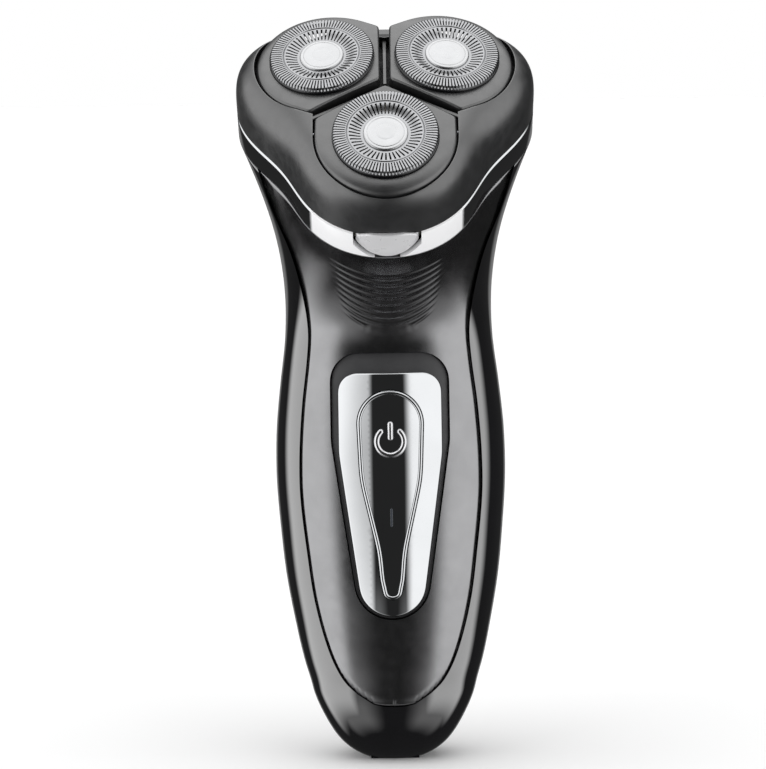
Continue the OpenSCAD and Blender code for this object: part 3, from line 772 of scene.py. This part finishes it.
def body_rings(angles, levels, off=0.0, extra=None, cap=0.0):
    """Rings of the handle's skin. cap, if given, adds a ring that far above the last."""
    a, h = np.meshgrid(angles, levels)
    rings = body_pt(a, h, off, extra)
    if cap:
        lean = math.radians(HEAD_TILT)
        rings = np.vstack([rings, rings[-1:] + np.array([0, -math.sin(lean), math.cos(lean)]) * cap])
    return rings


def heights(low, step):
    """Levels up the handle, close together round its foot."""
    bottom = low + (NOSE_H - low) * (1 - np.cos(np.linspace(0, math.pi / 2, 30)))
    return np.concatenate([bottom, np.arange(NOSE_H + step, NECK_TOP - step / 2, step), [NECK_TOP]])


def even_angles(count):
    return np.arange(count) * 2 * math.pi / count


def inner_body():
    """What is hollowed out of the shells."""
    return loft("inner", body_rings(even_angles(120), heights(WALL, 2), WALL, cap=3))


def skin_pair(name, skin):
    """The skin's solid, to be cut, and its twin, which keeps the smooth normals for fair()."""
    return loft(name, skin), loft("twin", skin)


def rear_shell():
    shell, twin = skin_pair("shell_rear", body_rings(even_angles(300), heights(0, 0.9)))
    half = TRIMMER_W / 2 + 1.5
    carve(shell, "DIFFERENCE", inner_body(),
          front_prism("seam", seam_outline(SEAM_GAP), -60, 3),
          block("inlet", (-5.4, -3.3, -1), (5.4, 3.3, 5)),
          block("trimmer", (-half, 14, TRIMMER_Z - 4.5), (half, 34, TRIMMER_Z + 32)),
          block("slot", (-4.8, 15, 50.5), (4.8, 35, 60.5)))
    for x in (-SCREW_X, SCREW_X):
        carve(shell, "DIFFERENCE", front_prism("screw", circle(x, SCREW_Z, SCREW_R, 48), 10, 30))
    fair(shell, twin, lean=neck_lean)
    own(shell, "handle", "gloss_black", "rear_shell")


def front_shell():
    fine = np.concatenate([np.linspace(-1.25, 1.25, 360), np.linspace(1.4, 2 * math.pi - 1.4, 30)])
    plain = heights(0, 0.9)
    rows = np.concatenate([plain[plain < 98], np.arange(98, 121, 0.13),
                           np.arange(121.4, NECK_TOP - 0.4, 0.9), [NECK_TOP]])
    skin = body_rings(fine, rows, 0, lambda a, h, r: rib_relief(a, h, r) + seam_relief(a, h, r))
    shell, twin = skin_pair("shell_front", skin)
    carve(shell, "INTERSECT", front_prism("seam", seam_outline(0), -60, 3))
    carve(shell, "DIFFERENCE", inner_body(), front_prism("window", keyhole(*WINDOW), -60, 0))
    fair(shell, twin, lean=neck_lean)
    own(shell, "handle", "graphite_satin", "front_shell")


# -------------------- control panel
def panel_crown(xy):
    """The polished panel's bulge across: its reflections turn faster than the handle's own skin."""
    x = np.abs(xy[:, 0])
    bend_x, bend, ease = 4.5, 0.027, 0.010
    past = np.maximum(x - bend_x, 0)
    beyond = ease * past**2 - 2 * bend * bend_x * past - bend * bend_x**2
    return np.where(x < bend_x, -bend * x * x, beyond)


def control_panel():
    recess = inlay("panel_recess", keyhole(*RECESS), [button_outline(0.5)[::-1]],
                   level(-0.9), level(-3), on_front, edge=0.3, cell=1.2)
    own(recess, "handle", "black_trim", "control_bezel", material="recess_grey")
    plate = inlay("panel_plate", keyhole(*PLATE), [button_outline(0.4)[::-1]], level(-0.05), level(-0.9),
                  on_front, edge=0.45, hole_edge=0.2, cell=0.8, crown=panel_crown)
    own(plate, "handle", "chrome", "chrome_insert")
    face = inlay("button_face", button_outline(), [], level(BUTTON_RAISE), level(-2.6), on_front,
                 edge=0.3, cell=0.7, crown=panel_crown)
    own(face, "power_button", "chrome", "power_button")


def on_button(xy, h):
    return on_front(xy, h + BUTTON_RAISE)


def bead(name, path, width, height, closed=False):
    """A half-round bead along a path on the power button; open ends are rounded off."""
    steps, sunk = 8, 0.1
    if closed:
        n = outline_normals(path)
        shrink = np.ones(len(path))
    else:
        d = np.gradient(path, axis=0)
        n = np.stack([d[:, 1], -d[:, 0]], 1)
        n /= np.linalg.norm(n, axis=1, keepdims=True)
        along = np.concatenate([[0], np.cumsum(np.linalg.norm(np.diff(path, axis=0), axis=1))])
        to_end = np.minimum(along, along[-1] - along)
        reach = np.clip(1 - to_end / (width / 2), 0, 1)
        shrink = np.sqrt(np.maximum(1 - reach**2, 1e-4))
    side = n * (width / 2 * shrink)[:, None]
    rings = []
    for angle in math.pi * np.arange(steps + 1) / steps:
        rings.append(on_button(path + side * math.cos(angle), height * math.sin(angle) * shrink))
    for flank in (-side, side):
        rings.append(on_button(path + flank, np.full(len(path), -sunk)))
    rings = np.array(rings)
    if closed:
        return loft(name, rings, closed=True, sharp=60)
    return loft(name, np.swapaxes(rings, 0, 1)[::-1], sharp=60)


def upright(low, high, count=30):
    """A path up the middle of the button."""
    return np.stack([np.zeros(count), np.linspace(low, high, count)], 1)


def button_marks():
    trim = bead("button_trim", button_outline(-0.45, 0.25), 0.75, 0.28, closed=True)
    own(trim, "power_button", "chrome", "button_outline")
    t = np.radians(np.linspace(122, 418, 90))
    ring = np.stack([ICON_R * np.cos(t), ICON_Z + ICON_R * np.sin(t)], 1)
    for name, path in (("icon_ring", ring), ("icon_bar", upright(ICON_Z + 0.2, ICON_Z + 4.2))):
        own(bead(name, path, 1.15, 0.42), "power_button", "icon_silver", "power_icon")
    own(bead("lamp_slit", upright(53, 57), 0.5, 0.06), "power_button", "lamp")


# -------------------- collar
def collar():
    a = even_angles(420)
    bevel = 0.45
    # Height and depth under the outline, from the inner foot round the outside
    rows = [(BAND_LO, 1.6), (BAND_LO, 0.15), (BAND_LO + 0.1, 0.03), (BAND_LO + 0.3, 0), (0, 0),
            (BAND_HI - bevel - 0.1, 0), (BAND_HI - bevel, 0.02), (BAND_HI - bevel + 0.08, 0.09),
            (BAND_HI - 0.08, 0.36), (BAND_HI - 0.02, 0.43), (BAND_HI, 0.55), (BAND_HI, 1.6)]
    outer = lobe_r(a) - COLLAR_INSET
    rings = [np.stack([(outer - d) * np.sin(a), -(outer - d) * np.cos(a), np.full(len(a), s)], -1)
             for s, d in rows]
    m = head_matrix()
    band, twin = [loft(name, rings, closed=True, matrix=m) for name in ("collar_band", "twin")]
    notch = prism("notch", resample(circle(0, BUTTON_ARC_S - 0.4, BUTTON_ARC_R + 2, 120), 0.4), 20, 40,
                  m @ Matrix.Rotation(math.pi / 2, 4, "X"))
    carve(notch, "INTERSECT", block("side", (-7.05, -40, BAND_LO - 1), (7.05, -20, BAND_HI + 1), m))
    carve(band, "DIFFERENCE", notch)
    for x in (-HINGE_X, HINGE_X):
        carve(band, "DIFFERENCE", block("lug", (x - 2.2, 20, BAND_LO + 0.8), (x + 2.2, 32, 5), m))
    fair(band, twin)
    # The band's chrome carries a painted reflection across its front middle
    own(band, "handle", "chrome", "chrome_band", material="band_chrome")


def latch():
    """The release button: its bowed face, and the thin web behind it."""
    m = head_matrix()
    bow_r, bow_u, corner = 13, -18, 6.42
    level_s = (BUTTON_TOP - PIVOT[2]) * math.sqrt(2)
    x = corner * np.sin(np.linspace(-math.pi / 2, math.pi / 2, 60))
    low = BUTTON_ARC_S - np.sqrt(BUTTON_ARC_R**2 - x * x)
    high = np.minimum(BUTTON_LIP, level_s - bow_u + np.sqrt(bow_r**2 - x * x))
    outline = np.vstack([np.stack([x, low], 1), np.stack([x, high], 1)[::-1][1:-1]])
    outline = smoothed(resample(anticlockwise(outline), 0.25), 2)

    def on_bow(xy, h):
        r = bow_r + np.asarray(h, float)
        angle = np.arcsin(np.clip(xy[:, 0] / bow_r, -1, 1))
        return moved(np.stack([r * np.sin(angle), bow_u - r * np.cos(angle), xy[:, 1]], 1), m)

    face = inlay("latch_face", outline, [], level(0), level(-2.2), on_bow, cell=0.6)
    own(face, "release_button", "satin_silver", "release_button", material="latch_silver")
    web_r, web_arc_r, web_arc_s, web_half, web_top = 11.8, 8.5, 5.4, 6.5, 3.4
    x = np.linspace(-web_half, web_half, 60)
    low = np.maximum(web_arc_s - np.sqrt(web_arc_r**2 - x * x), BAND_LO + 0.1)
    web = anticlockwise(np.vstack([np.stack([x, low], 1), np.stack([x, np.full(60, web_top)], 1)[::-1]]))

    def on_web(xy, h):
        return moved(np.stack([xy[:, 0], bow_u - np.sqrt(web_r**2 - xy[:, 0]**2) - h, xy[:, 1]], 1), m)

    back = inlay("latch_web", resample(web, 0.3), [], level(0), level(-0.6), on_web, edge=0.15, cell=0.8)
    own(back, "release_button", "satin_silver", material="latch_silver")


# -------------------- shaving head
def petal_edge_r(a):
    """Distance from the head's centre to the petals' outer seam at angle a from the front lobe."""
    a = (np.asarray(a) + math.pi / 3) % (2 * math.pi / 3) - math.pi / 3
    centre = PETAL_REACH - PETAL_R
    round_r = centre * np.cos(a) + np.sqrt(np.maximum(PETAL_R**2 - (centre * np.sin(a)) ** 2, 0))
    side_r = PETAL_R / np.maximum(np.abs(np.sin(a)), 1e-6)
    past_centre = round_r * np.cos(a) < centre
    return np.where(past_centre, side_r, round_r)


def meridian(a, top_q, count, off=0.0, base=HEAD_BASE):
    """Points (distance out, height) up the crown from its base to share top_q of its radius."""
    p = dome_power(a)
    angles = np.concatenate([[math.pi / 2], math.pi / 2 - np.geomspace(1e-5, 0.7, 160),
                             np.linspace(0.85, 0.02, 80)])
    q = np.sin(angles) ** (2 / p)
    c = np.maximum(np.cos(angles), 0) ** (2 / p)
    c[0] = 0
    reach = lobe_r(a) - HEAD_INSET - off
    r, z = q * reach, base + (CROWN_H - CROWN_FALL * q * q - off - base) * c
    keep = q >= top_q
    stop_r = top_q * reach
    r = np.append(r[keep], stop_r)
    z = np.append(z[keep], dome_z(a, top_q, off, base))
    along = np.concatenate([[0], np.cumsum(np.hypot(np.diff(r), np.diff(z)))])
    at = np.linspace(0, along[-1], count)
    return np.stack([np.interp(at, along, r), np.interp(at, along, z)], 1)


def head_section(a, edge=0.25, wall=2.0, notch_half=7.1):
    """The frame's closed outline at angle a, as distances out and heights: foot, skin, lip and inside."""
    reach = float(lobe_r(a) - HEAD_INSET)
    cut = float(petal_edge_r(a))
    # Over the release button the foot is lifted clear of it
    x = abs(reach * math.sin(a)) if math.cos(a) > 0 else math.inf
    lift = 1 - smoothstep(notch_half - 0.1, notch_half + 0.3, x)
    rise_to = (BUTTON_TOP + 0.35 - PIVOT[2]) * math.sqrt(2) + reach * math.cos(a)
    base = HEAD_BASE + lift * max(0.0, rise_to - HEAD_BASE)
    foot = [(reach - wall, base), (reach - 0.25, base), (reach - 0.07, base + 0.06)]
    skin = meridian(a, cut / reach, 70)
    skin[:, 1] = np.maximum(skin[:, 1], base)
    skin[0, 1] = base + 0.25
    out, top = skin[-1]
    lip = [(out + edge * (math.cos(t) - 1), top - edge * (1 - math.sin(t)))
           for t in np.radians([72, 54, 36, 18, 0])]
    under_q = cut / (reach - wall)
    under = float(dome_z(a, min(under_q, 0.999), wall, HEAD_BASE - 1)) if under_q < 1 else HEAD_BASE
    floor = min(max(PETAL_FLOOR - 0.9, under), top - 1.2)
    inner = meridian(a, min(under_q, 0.93), 14, wall, HEAD_BASE - 1)[::-1]
    inner[:, 1] = np.maximum(np.minimum(inner[:, 1], floor), base)
    return np.vstack([foot, skin, lip, [(cut - edge, floor)], inner])


def head_skin():
    """The frame round the petals: one closed ring of sections, one section a degree."""
    rings = []
    for a in np.radians(np.arange(0, 360, 1.0)):
        r, z = head_section(a).T
        rings.append(np.stack([r * math.sin(a), -r * math.cos(a), z], 1))
    obj = loft("head_skin", rings[::-1], closed=True, sharp=32, matrix=head_matrix())
    own(obj, "head", "head_satin", "head_frame")


def petal_plan():
    """One petal's flat outline, with its corners rounded."""
    sine, cosine = math.sin(math.radians(60)), math.cos(math.radians(60))
    a = np.radians(np.linspace(-60, 60, 241))
    r = petal_edge_r(a) - PETAL_GAP
    outer = np.stack([r * np.sin(a), -r * np.cos(a)], 1)
    # Drop what lies within the groove's half width of the straight sides
    outer = outer[np.abs(outer[:, 0]) * cosine + outer[:, 1] * sine < -GROOVE_HALF]
    plan = anticlockwise(np.vstack([outer, [[0, -GROOVE_HALF / sine]]]))
    return smoothed(resample(plan, 0.3), 5)


def cap_plane(xy, drop):
    """Height over the head's frame of the plane drop below the front cap's top."""
    lean = math.radians(CAP_LEAN)
    return CAP_TOP - drop / math.cos(lean) + (xy[:, 1] + CAP_RING_R) * math.tan(lean)


def petal_top(xy):
    """The lower of the crown and a plane under the cap's top, blended where they meet."""
    dome = dome_top(xy[:, 0], xy[:, 1])
    plane = cap_plane(xy, 1.1)
    soft = 2.2
    return np.minimum(dome, plane) - np.maximum(soft - np.abs(dome - plane), 0) ** 2 / (4 * soft)


def petal_bottom(xy):
    return np.maximum(PETAL_FLOOR, petal_top(xy) - 2.8)


def petals():
    plan = petal_plan()
    lean = math.radians(CAP_LEAN)
    t = np.arange(150) * 2 * math.pi / 150
    hole_r = CAP_R + 0.3
    hole = np.stack([hole_r * np.cos(t), -CAP_RING_R + hole_r * np.sin(t) * math.cos(lean)
                     + 1.1 * math.sin(lean)], 1)
    for k in (1, 2, 3):
        m = head_matrix(k)
        petal = inlay(f"petal_skin_{k}", plan, [hole[::-1]], petal_top, petal_bottom,
                      lambda xy, h: moved(np.column_stack([xy, h]), m), edge=0.6, hole_edge=0.25, cell=0.8)
        own(petal, f"petal_{k}", "head_satin", f"petal_{k}")


def groove_spine():
    """The low rib in each arm of the Y-shaped groove, and the dark floor under it."""
    half, foot, rib_top, chamfer = 0.42, 11.2, 16.4, 0.15
    for k in range(3):
        angle = math.radians(60 + 120 * k)
        turn = head_matrix() @ Matrix.Rotation(angle, 4, "Z")
        rings = []
        for v in np.linspace(0.9, 18.4, 36):
            top = min(rib_top, float(dome_top(v * math.sin(angle), -v * math.cos(angle))) - 1.0)
            section = [(-half, foot), (half, foot), (half, top - chamfer), (half - 0.12, top),
                       (0.12 - half, top), (-half, top - chamfer)]
            rings.append([(x, -v, z) for x, z in section])
        own(loft(f"groove_rib_{k + 1}", rings, matrix=turn), "head", "head_satin")
        floor = block(f"groove_floor_{k + 1}", (-2.8, -19.5, 10.2), (2.8, -0.2, 10.9), turn)
        own(floor, "head", "inner_plastic")


# -------------------- shaving caps
def cap_profile(r):
    """Height of a cap's top at distance r from its axis."""
    rim_r = 0.65
    past = np.maximum(r - (CAP_R - rim_r), 0) / rim_r
    rim = -rim_r * (1 - np.sqrt(np.maximum(0, 1 - past**2)))
    groove = -0.22 * np.maximum(0, 1 - np.abs(r - 7.98) / 0.16)
    dish = -0.75 * smoothstep(7.7, 5.0, r)
    return rim + groove + dish


def slotted(name, matrix, r_in, r_out, count, share, thick, rows):
    """A ring of radial bars, each taking share of its pitch, with open slots between them."""
    r = np.linspace(r_in, r_out, rows)
    top = cap_profile(r)
    points, faces = [], []
    for i in range(count):
        mid = 2 * math.pi * (i + 0.5) / count
        half = math.pi / count * share
        base = len(points)
        for angle in (mid - half, mid + half):
            for z in (top, top - thick):
                points += list(np.stack([r * math.cos(angle), r * math.sin(angle), z], 1))

        def at(line, j):
            """Lines of points, in order: top and underside at one flank, then at the other."""
            return base + line * rows + j

        for j in range(rows - 1):
            for a, b in ((0, 2), (3, 1), (1, 0), (2, 3)):
                faces.append((at(a, j), at(a, j + 1), at(b, j + 1), at(b, j)))
        for j, flip in ((0, False), (rows - 1, True)):
            ends = (at(0, j), at(2, j), at(3, j), at(1, j))
            faces.append(ends[::-1] if flip else ends)
    return build(name, points, faces, matrix=matrix, sharp=40)


def turned(name, matrix, profile, count=120, sharp=35):
    """A solid of revolution about Z over a closed profile of (distance, height)."""
    t = even_angles(count)
    rings = [np.stack([r * np.cos(t), r * np.sin(t), np.full(count, z)], 1) for r, z in profile]
    return loft(name, rings, closed=True, sharp=sharp, matrix=matrix)


def joined(name, objs):
    """One object from several that share a place."""
    for o in bpy.context.view_layer.objects:
        o.select_set(False)
    for o in objs:
        o.select_set(True)
    bpy.context.view_layer.objects.active = objs[0]
    bpy.ops.object.join()
    objs[0].name = name
    return objs[0]


def caps():
    for k in (1, 2, 3):
        m = cap_matrix(k)
        ring_r = np.linspace(7.55, 8.3, 16)
        ring = list(zip(ring_r, cap_profile(ring_r)))
        middle = turned("mid", m, [(7.55, -0.5), *ring, (8.3, -0.5)])
        foot_r = np.linspace(4.6, 5.15, 5)
        foot = turned("foot", m, [(4.6, -1.5), *zip(foot_r, cap_profile(foot_r)), (5.15, -1.3)])
        rim = turned("rim", m, [(10.3, -0.95), (10.45, -0.75), (10.95, -0.75), (10.99, -0.95),
                                (10.99, -1.1), (10.3, -1.1)])
        outer = slotted("outer", m, 8.25, 11.0, 96, 0.56, 0.4, 14)
        inner = slotted("inner", m, 5.1, 7.6, 48, 0.6, 0.45, 8)
        face = joined(f"cap_face_{k}", [middle, foot, rim, outer, inner])
        own(face, f"cap_{k}", "cap_steel", f"cap_{k}")
        skirt = turned(f"cap_skirt_{k}", m, [(9.6, -1.1), (10.9, -1.1), (11.0, -1.2), (11.0, -2.5),
                                             (10.9, -2.6), (9.6, -2.6)])
        own(skirt, f"cap_{k}", "black_trim", f"cap_{k}")
        r = np.array([4.62, 4.6, 4.5, 4.35, 4.1, 3.95, 3.85, 3.75, 3.6, 3.0, 2.2, 2.1, 2.0, 1.2, 0.4, 0.02])
        z = np.array([-0.75, -0.55, -0.42, -0.36, -0.32, -0.31, -0.36, -0.31, -0.28, -0.24, -0.21,
                      -0.24, -0.2, -0.18, -0.17, -0.17])
        disc = turned(f"disc_face_{k}", m, [(0.02, -1.4), (4.62, -1.4), *zip(r, z)], sharp=50)
        own(disc, f"cap_{k}", "satin_silver", f"cap_disc_{k}")


# -------------------- trimmer
def trimmer_cover():
    cover, twin = skin_pair("trimmer_lid", body_rings(even_angles(300), heights(0, 0.9), 0.2))
    half = TRIMMER_W / 2
    box = block("box", (-half, TRIMMER_Y + 0.9, TRIMMER_Z - 0.2), (half, TRIMMER_Y + 21, TRIMMER_Z + 30.2))
    soften(box, 0.5)
    carve(cover, "INTERSECT", box)
    slope = Matrix.Translation((0, 17, TRIMMER_Z + 27)) @ Matrix.Rotation(math.radians(35), 4, "X")
    hinge = Matrix.Translation((0, TRIMMER_Y, TRIMMER_Z)) @ Matrix.Rotation(math.pi / 2, 4, "Y")
    barrel = prism("barrel", circle(0, 0, 1.8, 48), -30, 30, hinge)
    carve(cover, "DIFFERENCE", block("slope", (-30, 0, 0), (30, 20, 20), slope), barrel)
    fair(cover, twin, lean=neck_lean)
    own(cover, "trimmer", "gloss_black", "trimmer_cover")


# -------------------- CAD nodes that stay
def paint_cad():
    slots = {s["node"]: s["material_slot"] for s in frame["record"]["subparts"]}
    for name, obj in NODES.items():
        obj.data.materials.clear()
        obj.data.materials.append(MATERIALS[slots[name]])


# -------------------- stage
# The studio seen from the object: windows of light, with azimuth from the front (right is positive)
# and elevation, each as (from, to, softness) in degrees, and their brightness.
WINDOWS = [
    ((29, 96, 9), (-46, 46, 14), 1.65),
    ((-115, -36, 9), (-46, 46, 14), 1.75),
    ((16, 82, 14), (-64, -30, 12), 0.5),
    ((-82, -16, 14), (-64, -30, 12), 0.5),
    ((156, 400, 6), (-30, 46, 14), 0.22),
    ((-400, -156, 6), (-30, 46, 14), 0.22),
    ((-400, 400, 1), (48, 200, 12), 2.1),
]
GLOOM = 0.03
# Light that a pale floor would send back up to matt surfaces, from below this elevation
FLOOR_BOUNCE = 0.9
FLOOR_ELEVATION = -20
BACKDROP = 1.0


def band_mask(tree, value, band):
    """One inside the band, and falling softly to nothing at both its edges."""
    lo, hi, soft = band

    def step(at, up):
        ramp = add_node(tree, "MapRange", Value=value, From_Min=at - soft, From_Max=at + soft,
                        To_Min=0 if up else 1, To_Max=1 if up else 0)
        ramp.interpolation_type = "SMOOTHSTEP"
        return ramp.outputs[0]

    return math_node(tree, "MULTIPLY", step(lo, True), step(hi, False))


def make_world():
    """Light from the windows, and a plain backdrop to the camera alone."""
    world = bpy.data.worlds.new("studio")
    bpy.context.scene.world = world
    world.use_nodes = True
    tree = world.node_tree
    tree.nodes.clear()

    def calc(kind, a, b=0.0):
        return math_node(tree, kind, a, b)

    split = add_node(tree, "SeparateXYZ")
    plug(tree, split.inputs[0], add_node(tree, "TexCoord").outputs["Generated"])
    x, y, z = split.outputs
    azimuth = calc("MULTIPLY", calc("ARCTAN2", x, calc("MULTIPLY", y, -1)), 180 / math.pi)
    elevation = calc("MULTIPLY", calc("ARCSINE", z), 180 / math.pi)
    total = GLOOM
    for across, up, power in WINDOWS:
        mask = calc("MULTIPLY", band_mask(tree, azimuth, across), band_mask(tree, elevation, up))
        total = calc("MAXIMUM", calc("MULTIPLY", mask, power), total)
    rays = add_node(tree, "LightPath")
    below = calc("LESS_THAN", elevation, FLOOR_ELEVATION)
    bounce = calc("MULTIPLY", calc("MULTIPLY", below, rays.outputs["Is Diffuse Ray"]), FLOOR_BOUNCE)
    lit = add_node(tree, "Background", Color=(1, 1, 1, 1), Strength=calc("MAXIMUM", total, bounce))
    shown = add_node(tree, "Background", Color=(1, 1, 1, 1), Strength=BACKDROP)
    mix = add_node(tree, "MixShader")
    for socket, value in enumerate((rays.outputs["Is Camera Ray"], lit.outputs[0], shown.outputs[0])):
        plug(tree, mix.inputs[socket], value)
    add_node(tree, "OutputWorld", Surface=mix.outputs[0])


def make_floor():
    size = 60 / MM
    corners = [(-size, -size, 0), (size, -size, 0), (size, size, 0), (-size, size, 0)]
    floor = build("floor", corners, [(0, 1, 2, 3)])
    floor.data.materials.append(finish_material("floor", (0.88, 0.88, 0.88), 0.8, vary=0.005, mottle=3,
                                                bump=0.01, grain=400, specular=0.1))
    floor.visible_glossy = False
    floor.visible_diffuse = False
    floor.visible_shadow = False


def stage():
    make_world()
    make_floor()
    bpy.context.scene.view_settings.view_transform = "Standard"


paint_cad()
rear_shell()
front_shell()
control_panel()
button_marks()
collar()
latch()
head_skin()
petals()
groove_spine()
caps()
trimmer_cover()
stage()
